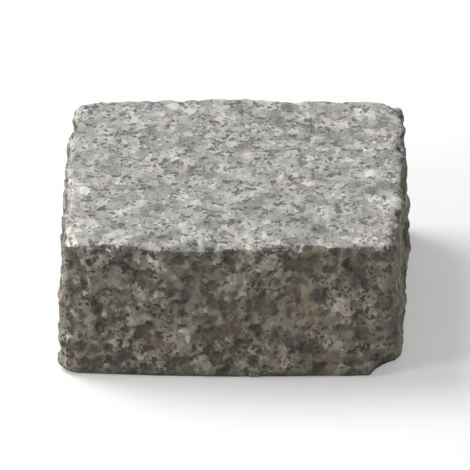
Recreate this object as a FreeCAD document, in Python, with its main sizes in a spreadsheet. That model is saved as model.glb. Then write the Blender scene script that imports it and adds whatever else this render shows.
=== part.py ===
import FreeCAD, Part
import Sketcher
import itertools
import math
import os

# A cropped granite sett: one block of stone, split on its four flanks, dressed flat on its bed and its
# head, with its corners worn round, its edges knocked off and chips, scars and split facets left in it.
# Millimetres. The bed lies on z = 0, the origin is under the middle of the block, the front flank faces -Y.

NODE = "granite_sett"

# How closely the finished block is meshed to measure its box.
MEASURE_STEP = 0.1

BLOCK_SIZES = [
    ("length", 100, "overall, left to right"),
    ("width", 94, "overall, front to back"),
    ("height", 42, "bed to head"),
]

# Each flank bows outwards on this radius. along: where it stands out furthest, from the flank's middle
# along +X or +Y, so that one of its ends falls further back than the other.
FLANK_SIZES = {
    "front": {"radius": 690, "along": -10},
    "right": {"radius": 640, "along": 14},
    "back": {"radius": 500, "along": 12},
    "left": {"radius": 1100, "along": 4},
}

# What wear took off: the four upright corners, the arris round the head, the edge round the bed.
WEAR_SIZES = [
    ("front_left_round", 6, "upright corner radius"),
    ("front_right_round", 5.5, "upright corner radius"),
    ("back_right_round", 10, "upright corner radius"),
    ("back_left_round", 9, "upright corner radius"),
    ("arris_bevel", 1.6, "width lost from head and flank at the arris"),
    ("bed_bevel", 2, "width lost from bed and flank at the edge round the bed"),
]

# How far the flanks lean in from the foot of the block to its head.
LEAN_SIZES = [("flank_lean", 2.2, "degrees from upright")]

# The split flanks break up into shallow dished facets, in staggered rows.
FACET_SIZES = [
    ("facet_pitch", 16.5, "from one facet to the next along a row"),
    ("facet_rise", 13.5, "from one row of facets up to the next"),
    ("facet_radius", 36, "radius of the dish, for a facet of middling size"),
    ("facet_depth", 0.95, "depth of the dish below the flank, for a middling facet"),
]

# Every other row of facets is moved on, and the rest back, by this share of the pitch.
FACET_STAGGER = 0.25

# Facets near each other aren't alike: these kinds are taken in turn. aside and up: how far a facet is
# moved, as shares of the pitch and the rise. wide and deep: shares of the radius and the depth.
FACET_KINDS = [
    {"aside": 0.10, "up": -0.20, "wide": 1.20, "deep": 1.25},
    {"aside": -0.25, "up": 0.15, "wide": 0.80, "deep": 0.70},
    {"aside": 0.20, "up": 0.10, "wide": 1.40, "deep": 1.05},
    {"aside": -0.10, "up": -0.10, "wide": 0.90, "deep": 1.50},
    {"aside": 0.30, "up": 0.25, "wide": 1.10, "deep": 0.55},
    {"aside": -0.20, "up": -0.25, "wide": 1.30, "deep": 0.90},
    {"aside": 0.00, "up": 0.05, "wide": 0.75, "deep": 1.30},
]

# Wider scars where a flake broke away from a flank. along: as for the flank. level: above the bed.
# radius: of the dish. depth: below the flank.
SCAR_SIZES = {
    "front_low_scar": {"along": -24, "level": 14, "radius": 55, "depth": 1.6},
    "front_high_scar": {"along": 19, "level": 27, "radius": 48, "depth": 1.9},
    "right_scar": {"along": -14, "level": 25, "radius": 60, "depth": 1.9},
    "right_low_scar": {"along": 23, "level": 12, "radius": 42, "depth": 1.3},
    "back_scar": {"along": -17, "level": 23, "radius": 75, "depth": 2.0},
    "back_low_scar": {"along": 25, "level": 12, "radius": 50, "depth": 1.5},
    "left_scar": {"along": 12, "level": 20, "radius": 62, "depth": 1.9},
    "left_high_scar": {"along": -25, "level": 29, "radius": 45, "depth": 1.2},
}
SCAR_FLANK = {
    "front_low_scar": "front",
    "front_high_scar": "front",
    "right_scar": "right",
    "right_low_scar": "right",
    "back_scar": "back",
    "back_low_scar": "back",
    "left_scar": "left",
    "left_high_scar": "left",
}

# Chips knocked out of the edge round the head or the bed. depth: bitten below the bevelled edge.
CHIP_SIZES = {
    "front_chip": {"along": 22, "radius": 13, "depth": 1.2},
    "front_small_chip": {"along": -33, "radius": 9, "depth": 0.6},
    "right_chip": {"along": 20, "radius": 18, "depth": 1.1},
    "back_chip": {"along": 15, "radius": 20, "depth": 1.2},
    "left_chip": {"along": -21, "radius": 16, "depth": 0.9},
    "front_bed_chip": {"along": 54, "radius": 16, "depth": 8.5},
}
CHIP_PLACE = {
    "front_chip": ("front", "head"),
    "front_small_chip": ("front", "head"),
    "right_chip": ("right", "head"),
    "back_chip": ("back", "head"),
    "left_chip": ("left", "head"),
    "front_bed_chip": ("front", "bed"),
}

# Each flank, counter-clockwise: the overall size it stands across, the one it runs along, the way it
# faces, and the upright corner that it runs to.
FLANKS = {
    "front": {"across": "width", "run": "length", "outward": "-y", "corner": "front_right"},
    "right": {"across": "length", "run": "width", "outward": "+x", "corner": "back_right"},
    "back": {"across": "width", "run": "length", "outward": "+y", "corner": "back_left"},
    "left": {"across": "length", "run": "width", "outward": "-x", "corner": "front_left"},
}

# The edges round the two level faces: the height, the sign of the way out of the stone, and the bevel.
LEVEL_EDGES = {
    "head": ("Sizes.height", "+", "arris_bevel"),
    "bed": ("0", "-", "bed_bevel"),
}


def fill_sheet(doc):
    rows = BLOCK_SIZES + WEAR_SIZES + LEAN_SIZES + FACET_SIZES
    for group in (FLANK_SIZES, SCAR_SIZES, CHIP_SIZES):
        for name, sizes in group.items():
            rows += [(f"{name}_{size}", value, f"{name}: {size}") for size, value in sizes.items()]
    sheet = doc.addObject("Spreadsheet::Sheet", "Sizes")
    for line, (alias, value, note) in enumerate(rows, start=1):
        sheet.set(f"A{line}", note)
        sheet.set(f"B{line}", str(value))
        sheet.setAlias(f"B{line}", alias)
    doc.recompute()
    return sheet


def value_of(sheet, expression):
    return float(sheet.evalExpression(expression.replace("Sizes.", "")))


def origin_plane(body, role):
    return next(plane for plane in body.Origin.OriginFeatures if plane.Role == role)


def half_across(flank):
    return f"Sizes.{FLANKS[flank]['across']} / 2"


def outward(flank):
    """The way a flank faces, as a unit step along x and y."""
    sign, axis = FLANKS[flank]["outward"]
    return tuple(int(f"{sign}1") if axis == name else 0 for name in "xy")


def flank_reach(flank, along, level):
    """How far out a flank lies at a place on it, as an expression."""
    lean = f"({level} - Sizes.bed_bevel) * tan(Sizes.flank_lean)"
    aside = f"({along} - Sizes.{flank}_along)"
    centre = f"{half_across(flank)} - Sizes.{flank}_radius"
    return f"{centre} + sqrt((Sizes.{flank}_radius - {lean}) ^ 2 - {aside} ^ 2)"


def flank_centre(flank):
    """The centre of a flank's bow in the outline, as expressions for x and y."""
    inset = f"({half_across(flank)} - Sizes.{flank}_radius)"
    return [f"{step} * {inset}" if step else f"Sizes.{flank}_along" for step in outward(flank)]


def to_point(sheet, place):
    return FreeCAD.Vector(*(value_of(sheet, expression) for expression in place))


def corner_centre(sheet, before, after):
    """The centre of the arc that rounds a corner, inside the bows of the two flanks that meet there."""
    corner_round = value_of(sheet, f"Sizes.{FLANKS[before]['corner']}_round")
    sharp, inner = FreeCAD.Vector(), []
    for flank in (before, after):
        sharp += FreeCAD.Vector(*outward(flank)) * value_of(sheet, half_across(flank))
        radius = value_of(sheet, f"Sizes.{flank}_radius") - corner_round
        inner.append(Part.Circle(to_point(sheet, flank_centre(flank)), FreeCAD.Vector(0, 0, 1), radius))
    meetings = [FreeCAD.Vector(point.X, point.Y) for point in inner[0].intersect(inner[1])]
    return min(meetings, key=sharp.distanceToPoint)


def turn_to(centre, point):
    return math.atan2(point.y - centre.y, point.x - centre.x)


def add_arc(sketch, centre, radius, start, end):
    circle = Part.Circle(centre, FreeCAD.Vector(0, 0, 1), radius)
    return sketch.addGeometry(Part.ArcOfCircle(circle, start, end), False)


def bind(sketch, sheet, constraint, name, places, expression):
    """Adds a constraint on a length and ties it to the sheet."""
    added = sketch.addConstraint(Sketcher.Constraint(constraint, *places, value_of(sheet, expression)))
    sketch.renameConstraint(added, name)
    sketch.setExpression(f"Constraints.{name}", expression)


def foot_outline(body, sheet):
    """The outline at the foot: four bowed flanks joined by tangent corner arcs, counter-clockwise."""
    sketch = body.newObject("Sketcher::SketchObject", "foot_outline")
    sketch.AttachmentSupport = [(origin_plane(body, "XY_Plane"), "")]
    sketch.MapMode = "FlatFace"
    flanks = list(FLANKS)
    following = flanks[1:] + flanks[:1]
    centres = {flank: to_point(sheet, flank_centre(flank)) for flank in flanks}
    corners = {flank: corner_centre(sheet, flank, after) for flank, after in zip(flanks, following)}
    arcs, corner_arcs = {}, {}
    for before, flank in zip(flanks, following):
        start, end = (turn_to(centres[flank], corners[corner]) for corner in (before, flank))
        arcs[flank] = add_arc(sketch, centres[flank], value_of(sheet, f"Sizes.{flank}_radius"), start, end)
    for flank, after in zip(flanks, following):
        start, end = (turn_to(centres[side], corners[flank]) for side in (flank, after))
        corner_round = value_of(sheet, f"Sizes.{FLANKS[flank]['corner']}_round")
        corner_arcs[flank] = add_arc(sketch, corners[flank], corner_round, start, end)
    origin = -1
    for flank, after in zip(flanks, following):
        sketch.addConstraint(Sketcher.Constraint("Tangent", arcs[flank], 2, corner_arcs[flank], 1))
        sketch.addConstraint(Sketcher.Constraint("Tangent", corner_arcs[flank], 2, arcs[after], 1))
    for flank in flanks:
        corner = FLANKS[flank]["corner"]
        bind(sketch, sheet, "Radius", f"{flank}_bow", (arcs[flank],), f"Sizes.{flank}_radius")
        bind(sketch, sheet, "Radius", corner, (corner_arcs[flank],), f"Sizes.{corner}_round")
        for axis, place in zip("XY", flank_centre(flank)):
            bind(sketch, sheet, f"Distance{axis}", f"{flank}_{axis}", (origin, 1, arcs[flank], 3), place)
    return sketch


def split_block(body, sheet):
    """The block as it was split: the foot's outline drawn up from the bed, with its flanks leant in."""
    upright = body.newObject("PartDesign::Pad", "upright_block")
    upright.Profile = foot_outline(body, sheet)
    upright.setExpression("Length", "Sizes.height")
    foot = body.newObject("PartDesign::Plane", "foot_level")
    foot.AttachmentSupport = [(origin_plane(body, "XY_Plane"), "")]
    foot.MapMode = "FlatFace"
    foot.setExpression("AttachmentOffset.Base.z", "Sizes.bed_bevel")
    body.Document.recompute()
    faces = upright.Shape.Faces
    leant = body.newObject("PartDesign::Draft", "split_block")
    leant.Base = (upright, [f"Face{i + 1}" for i, face in enumerate(faces) if not is_flat(face)])
    leant.NeutralPlane = (foot, [""])
    leant.setExpression("Angle", "Sizes.flank_lean")
    body.Document.recompute()
    return leant


def is_flat(face):
    return face.Surface.TypeId == "Part::GeomPlane"


def level_face(base, height):
    """The name of the flat face that lies nearest to a height."""
    faces = base.Shape.Faces
    flat = [i for i, face in enumerate(faces) if is_flat(face)]
    nearest = min(flat, key=lambda i: abs(faces[i].CenterOfMass.z - height))
    return f"Face{nearest + 1}"


def worn_edge(body, base, sheet, level):
    """Knocks off the edge all the way round the head or the bed."""
    height, _, bevel = LEVEL_EDGES[level]
    worn = body.newObject("PartDesign::Chamfer", f"worn_{level}_edge")
    worn.Base = (base, [level_face(base, value_of(sheet, height))])
    worn.setExpression("Size", f"Sizes.{bevel}")
    body.Document.recompute()
    return worn


def ball_centre(flank, along, reach, level):
    """The middle of a ball that bites into a flank, as expressions for x, y and z."""
    return [f"{step} * ({reach})" if step else along for step in outward(flank)] + [level]


def seam_turn(flank):
    """Turns a ball's seam away from the stone."""
    x, y = outward(flank)
    return FreeCAD.Rotation(math.degrees(math.atan2(y, x)), 0, 0)


def dish_reach(flank, along, level, radius, depth):
    """How far out a ball's middle lies, for a dish of some depth in a flank."""
    return f"{flank_reach(flank, along, level)} + {radius} - {depth}"


def bite(body, name, flank, along, reach, level):
    """A ball that takes a bite out of the block."""
    ball = body.newObject("PartDesign::SubtractiveSphere", name)
    ball.AttachmentSupport = [(origin_plane(body, "XY_Plane"), "")]
    ball.MapMode = "FlatFace"
    ball.AttachmentOffset.Rotation = seam_turn(flank)
    ball.setExpression("Radius", f"Sizes.{name}_radius")
    for axis, place in zip("xyz", ball_centre(flank, along, reach, level)):
        ball.setExpression(f"AttachmentOffset.Base.{axis}", place)


def split_scar(body, name):
    flank = SCAR_FLANK[name]
    along, level, radius, depth = (f"Sizes.{name}_{size}" for size in ("along", "level", "radius", "depth"))
    bite(body, name, flank, along, dish_reach(flank, along, level, radius, depth), level)


def edge_chip(body, name):
    """A chip bitten into a bevelled edge, square to the bevel."""
    flank, level = CHIP_PLACE[name]
    height, sign, bevel = LEVEL_EDGES[level]
    along, radius, depth = (f"Sizes.{name}_{size}" for size in ("along", "radius", "depth"))
    off = f"({radius} - {depth} - Sizes.{bevel} / sqrt(2)) / sqrt(2)"
    bite(body, name, flank, along, f"{flank_reach(flank, along, height)} + {off}", f"{height} {sign} {off}")


def facet_balls(sheet):
    """The balls that break each flank up into rows of dishes about its middle."""
    rows = int(value_of(sheet, "Sizes.height / Sizes.facet_rise"))
    kinds = itertools.cycle(FACET_KINDS)
    for flank, sides in FLANKS.items():
        columns = int(value_of(sheet, f"Sizes.{sides['run']} / Sizes.facet_pitch"))
        for row, column in itertools.product(range(rows), range(columns)):
            kind = next(kinds)
            stagger = FACET_STAGGER if row % 2 else -FACET_STAGGER
            steps = column - (columns - 1) / 2 + stagger + kind["aside"]
            rises = row - (rows - 1) / 2 + kind["up"]
            along, level = f"{steps} * Sizes.facet_pitch", f"Sizes.height / 2 + ({rises}) * Sizes.facet_rise"
            radius, depth = f"{kind['wide']} * Sizes.facet_radius", f"{kind['deep']} * Sizes.facet_depth"
            centre = ball_centre(flank, along, dish_reach(flank, along, level, radius, depth), level)
            ball = Part.makeSphere(value_of(sheet, radius))
            ball.Placement = FreeCAD.Placement(to_point(sheet, centre), seam_turn(flank))
            yield ball


def make_sett(doc, sheet):
    body = doc.addObject("PartDesign::Body", "chipped_block")
    block = split_block(body, sheet)
    for level in LEVEL_EDGES:
        block = worn_edge(body, block, sheet, level)
    for name in SCAR_SIZES:
        split_scar(body, name)
    for name in CHIP_SIZES:
        edge_chip(body, name)
    doc.recompute()
    # The facets are dozens of small bites of one kind, so they are cut from the block's shape in one go
    # and not kept as features of their own. Each cut has to leave one solid.
    (stone,) = body.Shape.Solids
    for ball in facet_balls(sheet):
        (stone,) = stone.cut(ball).Solids
    sett = doc.addObject("Part::Feature", NODE)
    sett.Label = NODE
    sett.Shape = stone
    doc.recompute()
    return sett


def check(doc, pieces):
    failed = [item.Label for item in doc.Objects if {"Invalid", "Error"} & set(item.State)]
    if failed:
        raise RuntimeError(f"these failed to build: {failed}")
    for piece in pieces:
        if piece.Shape.isNull() or not piece.Shape.isValid() or len(piece.Shape.Solids) != 1:
            raise RuntimeError(f"{piece.Label} is not one valid solid")


def main():
    doc = FreeCAD.newDocument(NODE)
    sheet = fill_sheet(doc)
    sett = make_sett(doc, sheet)
    check(doc, [sett])
    os.makedirs("parts", exist_ok=True)
    sett.Shape.exportStep(os.path.join("parts", f"{sett.Label}.step"))
    points, _ = sett.Shape.tessellate(MEASURE_STEP)
    low, high = ([round(pick(point[i] for point in points), 2) for i in range(3)] for pick in (min, max))
    print(f"{sett.Label}: from {low} to {high} mm")
    print(f"volume {sett.Shape.Volume / 1000:.1f} cm3, {len(sett.Shape.Faces)} faces")


main()
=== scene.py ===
import bpy
import math
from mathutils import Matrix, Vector


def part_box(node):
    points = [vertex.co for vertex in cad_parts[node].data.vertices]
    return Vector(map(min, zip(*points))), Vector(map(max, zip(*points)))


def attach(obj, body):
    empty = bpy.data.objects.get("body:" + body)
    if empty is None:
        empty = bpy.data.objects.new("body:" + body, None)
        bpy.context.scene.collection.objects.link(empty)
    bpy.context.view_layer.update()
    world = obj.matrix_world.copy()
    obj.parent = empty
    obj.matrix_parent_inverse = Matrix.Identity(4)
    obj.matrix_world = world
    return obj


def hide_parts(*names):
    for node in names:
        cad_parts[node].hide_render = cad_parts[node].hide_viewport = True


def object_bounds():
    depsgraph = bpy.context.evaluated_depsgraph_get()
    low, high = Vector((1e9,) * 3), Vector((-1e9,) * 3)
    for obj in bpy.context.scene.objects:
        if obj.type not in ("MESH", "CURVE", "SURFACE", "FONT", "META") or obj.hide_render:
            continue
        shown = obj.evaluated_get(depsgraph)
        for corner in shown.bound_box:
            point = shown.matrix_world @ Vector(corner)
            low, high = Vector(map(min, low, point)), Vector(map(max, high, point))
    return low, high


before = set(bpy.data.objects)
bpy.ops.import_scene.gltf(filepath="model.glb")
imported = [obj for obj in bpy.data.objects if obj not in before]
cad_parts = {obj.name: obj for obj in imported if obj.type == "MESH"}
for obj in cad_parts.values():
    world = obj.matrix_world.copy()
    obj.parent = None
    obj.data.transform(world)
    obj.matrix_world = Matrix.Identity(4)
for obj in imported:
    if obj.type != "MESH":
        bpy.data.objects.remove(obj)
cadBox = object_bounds()
bpy.context.scene.view_settings.view_transform = "Standard"

mm = 0.001  # Blender works in metres, sizes below are written in millimetres
node = "granite_sett"
print("frame loaded, stone box in mm:", [round(v / mm, 2) for corner in cadBox for v in corner])


# a socket with arithmetic on it, for shader and geometry node trees alike
class Wire:
    def __init__(self, tree, socket=None):
        self.tree = tree
        self.socket = socket

    def add(self, kind, settings=None, sockets=None, out=0):
        made = self.tree.nodes.new(kind)
        for name, value in (settings or {}).items():
            setattr(made, name, value)
        for key, value in (sockets or {}).items():
            if isinstance(value, Wire):
                self.tree.links.new(value.socket, made.inputs[key])
            else:
                made.inputs[key].default_value = value
        return Wire(self.tree, made.outputs[out] if len(made.outputs) else None)

    def out(self, name):  # another output of the same node
        return Wire(self.tree, self.socket.node.outputs[name])

    def into(self, socket):
        self.tree.links.new(self.socket, socket)

    def math(self, operation, first, second):
        return self.add("ShaderNodeMath", {"operation": operation}, {0: first, 1: second})

    def __add__(self, other):
        return self.math("ADD", self, other)

    def __radd__(self, other):
        return self.math("ADD", other, self)

    def __sub__(self, other):
        return self.math("SUBTRACT", self, other)

    def __rsub__(self, other):
        return self.math("SUBTRACT", other, self)

    def __mul__(self, other):
        return self.math("MULTIPLY", self, other)

    def __rmul__(self, other):
        return self.math("MULTIPLY", other, self)

    def __gt__(self, other):
        return self.math("GREATER_THAN", self, other)

    def __lt__(self, other):
        return self.math("LESS_THAN", self, other)

    def atLeast(self, other):
        return self.math("MAXIMUM", self, other)

    def atMost(self, other):
        return self.math("MINIMUM", self, other)


def soften(value, low, high):  # 0 below low, 1 above high, smooth between
    limits = {"Value": value, "From Min": low, "From Max": high}
    return value.add("ShaderNodeMapRange", {"interpolation_type": "SMOOTHSTEP"}, limits, "Result")


def vectorMath(operation, first, second, out="Vector"):
    return first.add("ShaderNodeVectorMath", {"operation": operation}, {0: first, 1: second}, out)


def scaled(vector, factor):
    return vector.add("ShaderNodeVectorMath", {"operation": "SCALE"}, {0: vector, "Scale": factor})


def split(vector):
    x = vector.add("ShaderNodeSeparateXYZ", None, {0: vector}, "X")
    return x, x.out("Y"), x.out("Z")


def cloud(place, size, detail=2.0, rough=0.5):  # noise with lumps about size apart, around 0.5
    sockets = {"Vector": place, "Scale": 1 / size, "Detail": detail, "Roughness": rough}
    return place.add("ShaderNodeTexNoise", None, sockets, "Fac")


def wobbled(place, size, amount):  # a place moved about, so that cell walls aren't straight
    drift = vectorMath("SUBTRACT", cloud(place, size).out("Color"), (0.5, 0.5, 0.5))
    return vectorMath("ADD", place, scaled(drift, amount))


def cells(place, size):
    return place.add("ShaderNodeTexVoronoi", None, {"Vector": place, "Scale": 1 / size}, "Distance")


def tinted(mask, first, second, way="MIX"):
    settings = {"data_type": "RGBA", "blend_type": way, "clamp_factor": True}
    return mask.add("ShaderNodeMix", settings, {0: mask, 6: first, 7: second}, 2)


# the crystals: the same cells raise the surface and colour it
crystal = {
    "coarse": 2.9 * mm,
    "fine": 1.25 * mm,
    "fineFrom": 0.42,
    "ragSize": 0.9 * mm,
    "rag": 0.6 * mm,
}


# three random values and the middle of each crystal, with some coarse crystals broken up into fine ones
def crystals(place):
    ragged = wobbled(place, crystal["ragSize"], crystal["rag"])
    coarse = cells(ragged, crystal["coarse"])
    fine = cells(ragged, crystal["fine"])
    isFine = split(coarse.out("Color"))[2] > crystal["fineFrom"]
    values = split(tinted(isFine, coarse.out("Color"), fine.out("Color")))
    return values, isFine, tinted(isFine, coarse.out("Position"), fine.out("Position"))


# the block, bevelled and drawn onto the frame's stone
settStone = {
    # how round each upright corner is: -1 is left and front, 1 is right and back
    "corners": {(-1, -1): 6 * mm, (1, -1): 5.5 * mm, (1, 1): 10 * mm, (-1, 1): 9 * mm},
    "cornerSegments": 5,
    "arris": 2.2 * mm,
    "bedEdge": 2.6 * mm,
    "edgeSegments": 3,
    "levelWithin": 0.1 * mm,  # an edge lies at a level when both its ends are this close to it
    "blockVoxel": 1.3 * mm,
    "stoneVoxel": 0.64 * mm,
}


def pickEdges(piece, wanted):
    bpy.ops.object.mode_set(mode="EDIT")
    bpy.ops.mesh.select_mode(type="EDGE")
    bpy.ops.mesh.select_all(action="DESELECT")
    bpy.ops.object.mode_set(mode="OBJECT")
    points = piece.data.vertices
    for edge in piece.data.edges:
        edge.select = wanted(*[points[index].co for index in edge.vertices])
    bpy.ops.object.mode_set(mode="EDIT")


def bevelEdges(piece, wanted, offset, segments):
    pickEdges(piece, wanted)
    bpy.ops.mesh.bevel(offset=offset, segments=segments, affect="EDGES")
    bpy.ops.object.mode_set(mode="OBJECT")


def remesh(piece, voxel):
    skin = piece.modifiers.new("evenSkin", "REMESH")
    skin.mode = "VOXEL"
    skin.voxel_size = voxel
    bpy.ops.object.modifier_apply(modifier=skin.name)


def makeBlock():
    low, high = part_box(node)
    middle = (low + high) / 2
    bpy.ops.object.select_all(action="DESELECT")
    bpy.ops.mesh.primitive_cube_add(size=1, location=middle, scale=high - low)
    block = bpy.context.object
    block.name = "sett_stone"
    block.data.name = "sett_stone"
    bpy.ops.object.transform_apply(location=True, rotation=True, scale=True)

    for (sideX, sideY), offset in settStone["corners"].items():
        def upright(a, b):
            standing = abs(a.z - b.z) > (high.z - low.z) / 2
            return standing and (a.x - middle.x) * sideX > 0 and (a.y - middle.y) * sideY > 0
        bevelEdges(block, upright, offset, settStone["cornerSegments"])
    for level, offset in ((high.z, settStone["arris"]), (low.z, settStone["bedEdge"])):
        def lying(a, b):
            return max(abs(a.z - level), abs(b.z - level)) < settStone["levelWithin"]
        bevelEdges(block, lying, offset, settStone["edgeSegments"])

    remesh(block, settStone["blockVoxel"])
    wrap = block.modifiers.new("ontoFrame", "SHRINKWRAP")
    wrap.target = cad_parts[node]
    wrap.wrap_method = "NEAREST_SURFACEPOINT"
    bpy.ops.object.modifier_apply(modifier=wrap.name)
    remesh(block, settStone["stoneVoxel"])
    print("block drawn onto the frame:", len(block.data.polygons), "faces")
    return block


# how the surface broke: heights and depths are in millimetres, an edge is where a mask starts and is full,
# and facing is how far up the surface looks, from -1 to 1
relief = {
    "headFacing": (0.5, 0.9),
    "arrisFacing": {"starts": (0.05, 0.5), "ends": (0.8, 0.99)},
    "wear": {"steps": 260, "gain": 2},
    "heave": {"size": 24 * mm, "detail": 3, "flank": 1.0, "head": 0.9},
    "cleave": {"size": 10 * mm, "bendSize": 5 * mm, "bend": 3.3 * mm, "flank": 0.11, "head": 0.03},
    "splinter": {"size": 3.6 * mm, "flank": 0.26, "head": 0.12},
    "pit": {"size": 6 * mm, "share": 0.45, "edge": (0.08, 0.28), "depth": 0.6},
    "crumble": {"size": 7 * mm, "detail": 3, "rough": 0.6, "edge": (0.46, 0.7),
                "crisp": 0.3, "bite": 1.4, "steps": 3},
    "seat": {"top": 5 * mm, "share": 0.3},
    "blurSteps": 1,
    "hollowSteps": 14,
    "grit": {"flank": 0.55, "head": 0.38, "fine": 0.55, "arris": 0.5},
    "tip": {"steps": 6, "edge": (0.3 * mm, 0.8 * mm), "share": 0.8},
}


def blurred(value, steps, kind="FLOAT"):
    sockets = {"Value": value, "Iterations": steps}
    return value.add("GeometryNodeBlurAttribute", {"data_type": kind}, sockets, "Value")


def kept(stock, name, value):  # the value as it is here, for later nodes and the finish
    sockets = {"Geometry": stock, "Name": name, "Value": value}
    return stock.add("GeometryNodeStoreNamedAttribute", None, sockets, "Geometry")


def recalled(stock, name):
    return stock.add("GeometryNodeInputNamedAttribute", None, {"Name": name}, "Attribute")


def moved(stock, offset):
    return stock.add("GeometryNodeSetPosition", None, {"Geometry": stock, "Offset": offset}, "Geometry")


def pushed(stock, normal, height):  # height in millimetres along the surface normal
    return moved(stock, scaled(normal, height * mm))


def shared(part, head, flank):  # an amount that differs between head and flank
    return flank * part["flank"] + head * part["head"]


def masked(stock, normal):  # which way the unbroken surface faces
    facing = split(normal)[2]
    head = soften(facing, *relief["headFacing"])
    bed = soften(facing * -1, *relief["headFacing"])
    starts, ends = relief["arrisFacing"]["starts"], relief["arrisFacing"]["ends"]
    rim = head * (1 - blurred(head, relief["wear"]["steps"]))
    stock = kept(stock, "headMask", head)
    stock = kept(stock, "flankMask", 1 - head - bed)
    stock = kept(stock, "arrisMask", soften(facing, *starts) * (1 - soften(facing, *ends)))
    return kept(stock, "wearMask", rim * relief["wear"]["gain"])


# each cell is a plane broken at its own tilt, up to 1 mm of height for each mm along an axis
def cleaved(place, size):
    cell = cells(place, size)
    away = vectorMath("SUBTRACT", place, cell.out("Position"))
    tilt = vectorMath("SUBTRACT", cell.out("Color"), (0.5, 0.5, 0.5))
    return vectorMath("DOT_PRODUCT", away, tilt, "Value") * (2 / mm)


def heaved(place, head, flank):  # broad swells, cleaved planes and splinters
    heave, cleave, splinter = relief["heave"], relief["cleave"], relief["splinter"]
    swell = (cloud(place, heave["size"], heave["detail"]) - 0.5) * shared(heave, head, flank)
    bent = wobbled(place, cleave["bendSize"], cleave["bend"])
    planes = cleaved(bent, cleave["size"]) * shared(cleave, head, flank)
    return swell + planes + cleaved(place, splinter["size"]) * shared(splinter, head, flank)


def pitted(place):
    pit = relief["pit"]
    hole = cells(place, pit["size"])
    isHole = split(hole.out("Color"))[0] < pit["share"]
    return (1 - soften(hole, *pit["edge"])) * isHole * pit["depth"]


def crumbled(place, arris):  # the arris stays crisp in places and is bitten off in others
    crumble = relief["crumble"]
    bite = soften(cloud(place, crumble["size"], crumble["detail"], crumble["rough"]), *crumble["edge"])
    return blurred((crumble["crisp"] - bite * crumble["bite"]) * arris, crumble["steps"])


def gritty(place, head, flank, arris):  # crystals that stand out or sank, less so on the arris
    grit = relief["grit"]
    values, isFine, _ = crystals(place)
    stand = (1 - isFine * (1 - grit["fine"])) * (1 - arris * (1 - grit["arris"]))
    return (values[1] - 0.5) * shared(grit, head, flank) * stand


def seated(place):  # less relief close to the floor, so that the stone sits well
    seat = relief["seat"]
    return seat["share"] + (1 - seat["share"]) * soften(split(place)[2], 0.0, seat["top"])


def wornTips(stock, place, normal):  # tips that stand out far are worn down
    tip = relief["tip"]
    inward = vectorMath("SUBTRACT", blurred(place, tip["steps"], "FLOAT_VECTOR"), place)
    sunk = vectorMath("DOT_PRODUCT", inward, normal, "Value")
    return moved(stock, scaled(inward, soften(sunk * -1, *tip["edge"]) * tip["share"]))


def aboveFloor(stock, place):
    x, y, z = split(place)
    raised = place.add("ShaderNodeCombineXYZ", None, {0: x, 1: y, 2: z.atLeast(0.0)})
    return stock.add("GeometryNodeSetPosition", None, {"Geometry": stock, "Position": raised}, "Geometry")


def breakSurface(stone):
    tree = bpy.data.node_groups.new("splitGranite", "GeometryNodeTree")
    for way in ("INPUT", "OUTPUT"):
        tree.interface.new_socket("Geometry", in_out=way, socket_type="NodeSocketGeometry")
    start = Wire(tree)
    place = start.add("GeometryNodeInputPosition", out="Position")
    normal = start.add("GeometryNodeInputNormal", out="Normal")
    stock = masked(start.add("NodeGroupInput", out="Geometry"), normal)
    head, flank, arris = (recalled(stock, name) for name in ("headMask", "flankMask", "arrisMask"))
    seat = seated(place)

    broken = (heaved(place, head, flank) - pitted(place)) * seat
    rough = blurred(broken, relief["blurSteps"]) + crumbled(place, arris)
    stock = kept(stock, "hollow", blurred(rough, relief["hollowSteps"]) - rough)
    stock = pushed(stock, normal, rough)
    stock = pushed(stock, normal, gritty(place, head, flank, arris) * seat)
    stock = aboveFloor(wornTips(stock, place, normal), place)
    start.add("NodeGroupOutput", None, {0: stock})

    made = stone.modifiers.new("splitGranite", "NODES")
    made.node_group = tree
    bpy.ops.object.modifier_apply(modifier=made.name)
    bpy.ops.object.shade_smooth()
    print("surface broken:", len(stone.data.vertices), "points")
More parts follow.
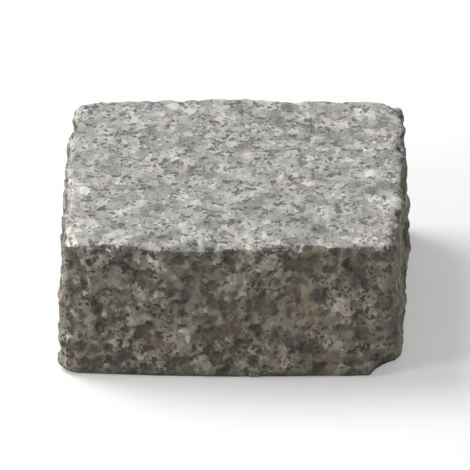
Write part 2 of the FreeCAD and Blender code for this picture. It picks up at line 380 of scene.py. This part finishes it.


# granite: pale feldspar, grey quartz and black mica, worn pale on the head and stained on the flanks, with
# painted shade in hollows and under the arris
soilAndShade = (0.045, 0.04, 0.031, 1)
granite = {
    "feldspar": (0.53, 0.52, 0.495, 1),
    "quartz": {"from": 0.48, "colour": (0.335, 0.333, 0.325, 1)},
    "mica": {"from": 0.83, "colour": (0.05, 0.048, 0.045, 1)},
    "fleck": {"from": 0.9, "share": 0.85, "size": 0.7 * mm, "ragSize": 0.5 * mm, "rag": 0.4 * mm},
    "crowd": {"size": 6 * mm, "share": 0.8},  # dark grains crowd together in places
    "shade": {"least": 0.62, "crystal": 0.4, "fleck": 0.16, "dust": 0.2, "dustSize": 0.3 * mm},
    "headEdge": {"rag": 0.5, "edge": (0.35, 0.65)},
    "layout": (-72 * mm, 245 * mm, 254 * mm),  # moves the patches of every stain below over the stone
    "frost": {"share": 0.22, "colour": (0.41, 0.405, 0.39, 1)},
    "flankTone": (0.815, 0.766, 0.647, 1),
    "mottle": {"size": 8 * mm, "rough": 0.6, "everywhere": 2.0, "flank": 1.3, "least": 0.45},
    "warmth": {"size": 9 * mm, "edge": (0.42, 0.6), "share": 0.7, "colour": (1.0, 0.97, 0.91, 1)},
    "bruise": {"size": 7 * mm, "edge": (0.3, 0.6), "wear": 0.7, "arris": 0.3,
               "colour": (1.32, 1.31, 1.28, 1)},
    # lean: more of a stain to the right, for each metre. hollowShade: painted shade, more of the stain in
    # hollows, for each millimetre
    "stains": {
        "olive": {"size": 22 * mm, "detail": 2, "rough": 0.5, "lean": 3.0, "hollowShade": 0.0,
                  "edge": (0.45, 0.65), "share": 0.3, "colour": (0.20, 0.185, 0.12, 1)},
        "rust": {"size": 13 * mm, "detail": 3, "rough": 0.6, "lean": 0.0, "hollowShade": 0.0,
                 "edge": (0.5, 0.72), "share": 0.5, "colour": (0.21, 0.15, 0.085, 1)},
        # grime in patches, and painted shade that deepens it in the hollows of the relief
        "grimeAndHollowShade": {"size": 7 * mm, "detail": 3, "rough": 0.6, "lean": 0.0, "hollowShade": 0.35,
                  "edge": (0.44, 0.66), "share": 0.7, "colour": soilAndShade},
    },
    # darker along the bed, and painted shade with some soil just under the arris
    "bands": {
        "foot": {"ragSize": 4 * mm, "rag": 4 * mm, "edge": (2.5 * mm, 6 * mm),
                 "patchSize": 9 * mm, "patchEdge": (0.4, 0.6), "least": 0.55, "share": 0.75},
        "brow": {"ragSize": 6 * mm, "rag": 3 * mm, "edge": (3.5 * mm, 6.5 * mm),
                 "patchSize": 6 * mm, "patchEdge": (0.4, 0.6), "least": 0.4, "share": 0.4},
    },
    "bump": {"dustSize": 0.4 * mm, "dustRough": 0.6, "dust": 0.25, "grainSize": 0.9 * mm, "grain": 0.35,
             "crystal": 0.25, "flankCrystal": 0.2},
    "roughness": {"stone": 0.85, "quartz": -0.2, "dark": -0.2, "glint": -0.3, "glintFrom": 0.85, "dust": 0.1},
}


def greyed(colour, shade):  # a colour darkened or lightened by a value
    grey = shade.add("ShaderNodeCombineXYZ", None, {0: shade, 1: shade, 2: shade})
    return vectorMath("MULTIPLY", colour, grey)


def minerals(place, mineral, tone, isFine):
    quartz, mica, fleck, shade = (granite[name] for name in ("quartz", "mica", "fleck", "shade"))
    flecks = split(cells(wobbled(place, fleck["ragSize"], fleck["rag"]), fleck["size"]).out("Color"))
    crowd = (cloud(place, granite["crowd"]["size"]) - 0.5) * granite["crowd"]["share"]
    isQuartz = mineral > quartz["from"]
    isMica = ((mineral + crowd) > mica["from"]) * isFine
    isFleck = (flecks[1] + crowd) > fleck["from"]
    isDark = isMica.atLeast(isFleck * fleck["share"])
    dust = cloud(place, shade["dustSize"]) * shade["dust"]
    level = shade["least"] + tone * shade["crystal"] + flecks[2] * shade["fleck"] + dust
    colour = greyed(tinted(isQuartz, granite["feldspar"], quartz["colour"]), level)
    return tinted(isDark, colour, mica["colour"]), isQuartz, isDark


# each crystal takes its stain whole, so stains are worked out at the crystal's middle, the grain
def mottled(colour, grain, flank):
    mottle = granite["mottle"]
    swing = cloud(grain, mottle["size"], rough=mottle["rough"]) - 0.5
    level = 1 + swing * (mottle["everywhere"] + flank * mottle["flank"])
    return greyed(colour, level.atLeast(mottle["least"]))


def wornPale(colour, grain, head, wear, arris):
    warmth, bruise = granite["warmth"], granite["bruise"]
    warm = soften(cloud(grain, warmth["size"]), *warmth["edge"]) * head
    colour = tinted(warm * warmth["share"], colour, warmth["colour"], "MULTIPLY")
    rubbed = soften(cloud(grain, bruise["size"]), *bruise["edge"]) * wear * head
    colour = tinted(rubbed * bruise["wear"], colour, bruise["colour"], "MULTIPLY")
    return tinted(arris * head * bruise["arris"], colour, bruise["colour"], "MULTIPLY")


def stainedAndHollowShaded(colour, stain, grain, right, hollow, flank):
    spread = cloud(grain, stain["size"], stain["detail"], stain["rough"])
    # painted shade: the stain darkens further where the surface lies in a hollow
    spread = spread + right * stain["lean"] + hollow * stain["hollowShade"]
    return tinted(soften(spread, *stain["edge"]) * flank * stain["share"], colour, stain["colour"])


def darkenedBand(colour, band, place, grain, away, flank):  # darkens a band by an edge, in patches; away: how far from that edge
    ragged = away + cloud(place, band["ragSize"]) * band["rag"]
    patch = soften(cloud(grain, band["patchSize"]), *band["patchEdge"])
    amount = (band["least"] + patch * (1 - band["least"])) * band["share"]
    return tinted((1 - soften(ragged, *band["edge"])) * amount * flank, colour, soilAndShade)


def graniteFinish(headLevel):
    finish = bpy.data.materials.new("granite_split")
    finish.use_nodes = True
    tree = finish.node_tree
    shader = tree.nodes["Principled BSDF"]
    start = Wire(tree)

    def stored(name):
        return start.add("ShaderNodeAttribute", {"attribute_name": name}, out="Fac")

    place = start.add("ShaderNodeTexCoord", out="Object")
    x, _, z = split(place)
    (mineral, tone, tint), isFine, grain = crystals(place)
    colour, isQuartz, isDark = minerals(place, mineral, tone, isFine)
    grain = vectorMath("ADD", grain, granite["layout"])

    edge, frost = granite["headEdge"], granite["frost"]
    head = soften(stored("headMask") + (tone - 0.5) * edge["rag"], *edge["edge"])  # it ends grain by grain
    flank = 1 - head
    colour = tinted(head * frost["share"], colour, frost["colour"])
    colour = tinted(flank, colour, granite["flankTone"], "MULTIPLY")
    colour = mottled(colour, grain, flank)
    colour = wornPale(colour, grain, head, stored("wearMask"), stored("arrisMask"))
    for stain in granite["stains"].values():
        colour = stainedAndHollowShaded(colour, stain, grain, x, stored("hollow"), flank)
    colour = darkenedBand(colour, granite["bands"]["foot"], place, grain, z, flank)
    # painted shade with some soil, in patches just under the arris
    colour = darkenedBand(colour, granite["bands"]["brow"], place, grain, headLevel - z, flank)
    colour.into(shader.inputs["Base Color"])

    bump, rough = granite["bump"], granite["roughness"]
    dust = cloud(place, bump["dustSize"], rough=bump["dustRough"])
    height = dust * bump["dust"] + cloud(place, bump["grainSize"]) * bump["grain"]
    height = height + tint * (bump["crystal"] + flank * bump["flankCrystal"])
    bumped = start.add("ShaderNodeBump", None, {"Distance": mm, "Height": height}, "Normal")
    bumped.into(shader.inputs["Normal"])
    glints = (tint > rough["glintFrom"]) * rough["glint"]
    dull = rough["stone"] + isQuartz * rough["quartz"] + isDark * rough["dark"]
    (dull + glints + dust * rough["dust"]).into(shader.inputs["Roughness"])
    print("granite finish made:", len(tree.nodes), "nodes")
    return finish


# the studio: a pale floor, an even sky, a broad lamp at the back left and a raking one at the front left
studio = {
    "azimuth": 1.6,
    "elevation": 29.0,
    "distance": 2.1,
    "stoneShare": 0.74,  # of the picture's width
    "sensor": 36.0,
    "floorSize": 12.0,
    "floorSeen": (0.75, 0.75, 0.75, 1),
    "floorGlow": (0.3, 0.3, 0.3, 1),
    "floorBounce": (0.5, 0.5, 0.5, 1),
    "floorRoughness": 0.9,
    "sky": 0.32,  # how strongly it lights the stone, it is seen as white
    "lamps": {
        "lampHigh": {"place": (-0.75, 0.35, 1.1), "size": 0.8, "power": 14.3},
        "lampRaking": {"place": (-0.8, -0.45, 0.45), "size": 0.3, "power": 3.0},
    },
}


def seenDirectly(tree):  # 1 for what the camera sees, also in gloss and through glass
    seen = Wire(tree).add("ShaderNodeLightPath", out="Is Camera Ray")
    return (seen + seen.out("Is Glossy Ray") + seen.out("Is Transmission Ray")).atMost(1.0)


def paleFloor():
    bpy.ops.mesh.primitive_plane_add(size=studio["floorSize"])
    floor = bpy.context.object
    floor.name = "floor"
    paint = bpy.data.materials.new("floor_pale")
    paint.use_nodes = True
    shader = paint.node_tree.nodes["Principled BSDF"]
    direct = seenDirectly(paint.node_tree)
    tinted(direct, studio["floorBounce"], studio["floorSeen"]).into(shader.inputs["Base Color"])
    tinted(direct, (0, 0, 0, 1), studio["floorGlow"]).into(shader.inputs["Emission Color"])
    shader.inputs["Emission Strength"].default_value = 1.0
    shader.inputs["Roughness"].default_value = studio["floorRoughness"]
    shader.inputs["Specular IOR Level"].default_value = 0.0
    floor.data.materials.append(paint)


def lightStudio():
    world = bpy.data.worlds.new("studioSky")
    world.use_nodes = True
    bpy.context.scene.world = world
    sky = world.node_tree.nodes["Background"]
    sky.inputs["Color"].default_value = (1, 1, 1, 1)
    level = studio["sky"] + seenDirectly(world.node_tree) * (1 - studio["sky"])
    level.into(sky.inputs["Strength"])

    for name, lamp in studio["lamps"].items():
        spot = Vector(lamp["place"])
        bpy.ops.object.light_add(type="AREA", location=spot)
        light = bpy.context.object
        light.name = name
        light.data.shape = "DISK"
        light.data.size = lamp["size"]
        light.data.energy = lamp["power"]
        light.rotation_euler = (-spot).to_track_quat("-Z", "Y").to_euler()  # aimed at the origin
    print("studio lit by", len(studio["lamps"]), "lamps and the sky")


def setCamera():
    low, high = cadBox
    middle = (low + high) / 2
    turn, tilt = math.radians(studio["azimuth"]), math.radians(studio["elevation"])
    back = Vector((math.sin(turn) * math.cos(tilt), -math.cos(turn) * math.cos(tilt), math.sin(tilt)))
    bpy.ops.object.camera_add(location=middle + back * studio["distance"])
    camera = bpy.context.object
    camera.name = "photoCamera"
    camera.rotation_euler = (-back).to_track_quat("-Z", "Y").to_euler()
    camera.data.sensor_width = studio["sensor"]
    seenWidth = (high.x - low.x) / studio["stoneShare"]
    camera.data.lens = studio["sensor"] * studio["distance"] / seenWidth
    bpy.context.scene.camera = camera
    print("camera set, lens in mm:", round(camera.data.lens))


stone = makeBlock()
breakSurface(stone)
stone.data.materials.append(graniteFinish(cadBox[1].z))
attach(stone, "root")
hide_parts(node)

paleFloor()
lightStudio()
setCamera()
